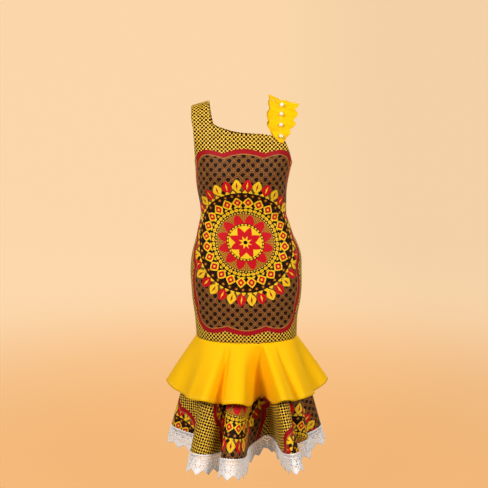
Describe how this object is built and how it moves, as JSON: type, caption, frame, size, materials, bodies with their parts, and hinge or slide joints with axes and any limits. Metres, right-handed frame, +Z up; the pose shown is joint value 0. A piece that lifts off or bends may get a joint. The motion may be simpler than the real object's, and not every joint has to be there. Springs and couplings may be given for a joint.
{
  "type": "ankara wax print dress",
  "caption": "Sleeveless fitted wax-print midi dress with a ruffled strap, a yellow flounce over a printed one and a scalloped lace hem.",
  "frame": {"origin": "between the shoulders, level with the top of the straps, where the wearer holds the dress up", "axes": "+Z up, -Y out of the front, +X to the viewer's right, which is the wearer's left"},
  "size_m": [0.5241, 0.5463, 1.1634],
  "materials": {
    "wax_print": "crisp waxed cotton print, dotted ground with red, yellow and dark olive rounds",
    "yellow_cloth": "smooth firm matt yellow cloth",
    "lace": "white corded lace",
    "pearl": "cream pearl coat"
  },
  "bodies": {
    "root": {"front_panel": "wax_print", "back_left_panel": "wax_print", "back_right_panel": "wax_print", "left_strap": "wax_print", "strap_ruffle": "yellow_cloth", "pearl_1": "pearl", "pearl_2": "pearl", "pearl_3": "pearl", "pearl_4": "pearl", "upper_flounce_front": "yellow_cloth", "upper_flounce_back": "yellow_cloth", "lower_flounce_front": "wax_print", "lower_flounce_back": "wax_print", "hem_lace_front": "lace", "hem_lace_back": "lace"}
  },
  "joints": []
}
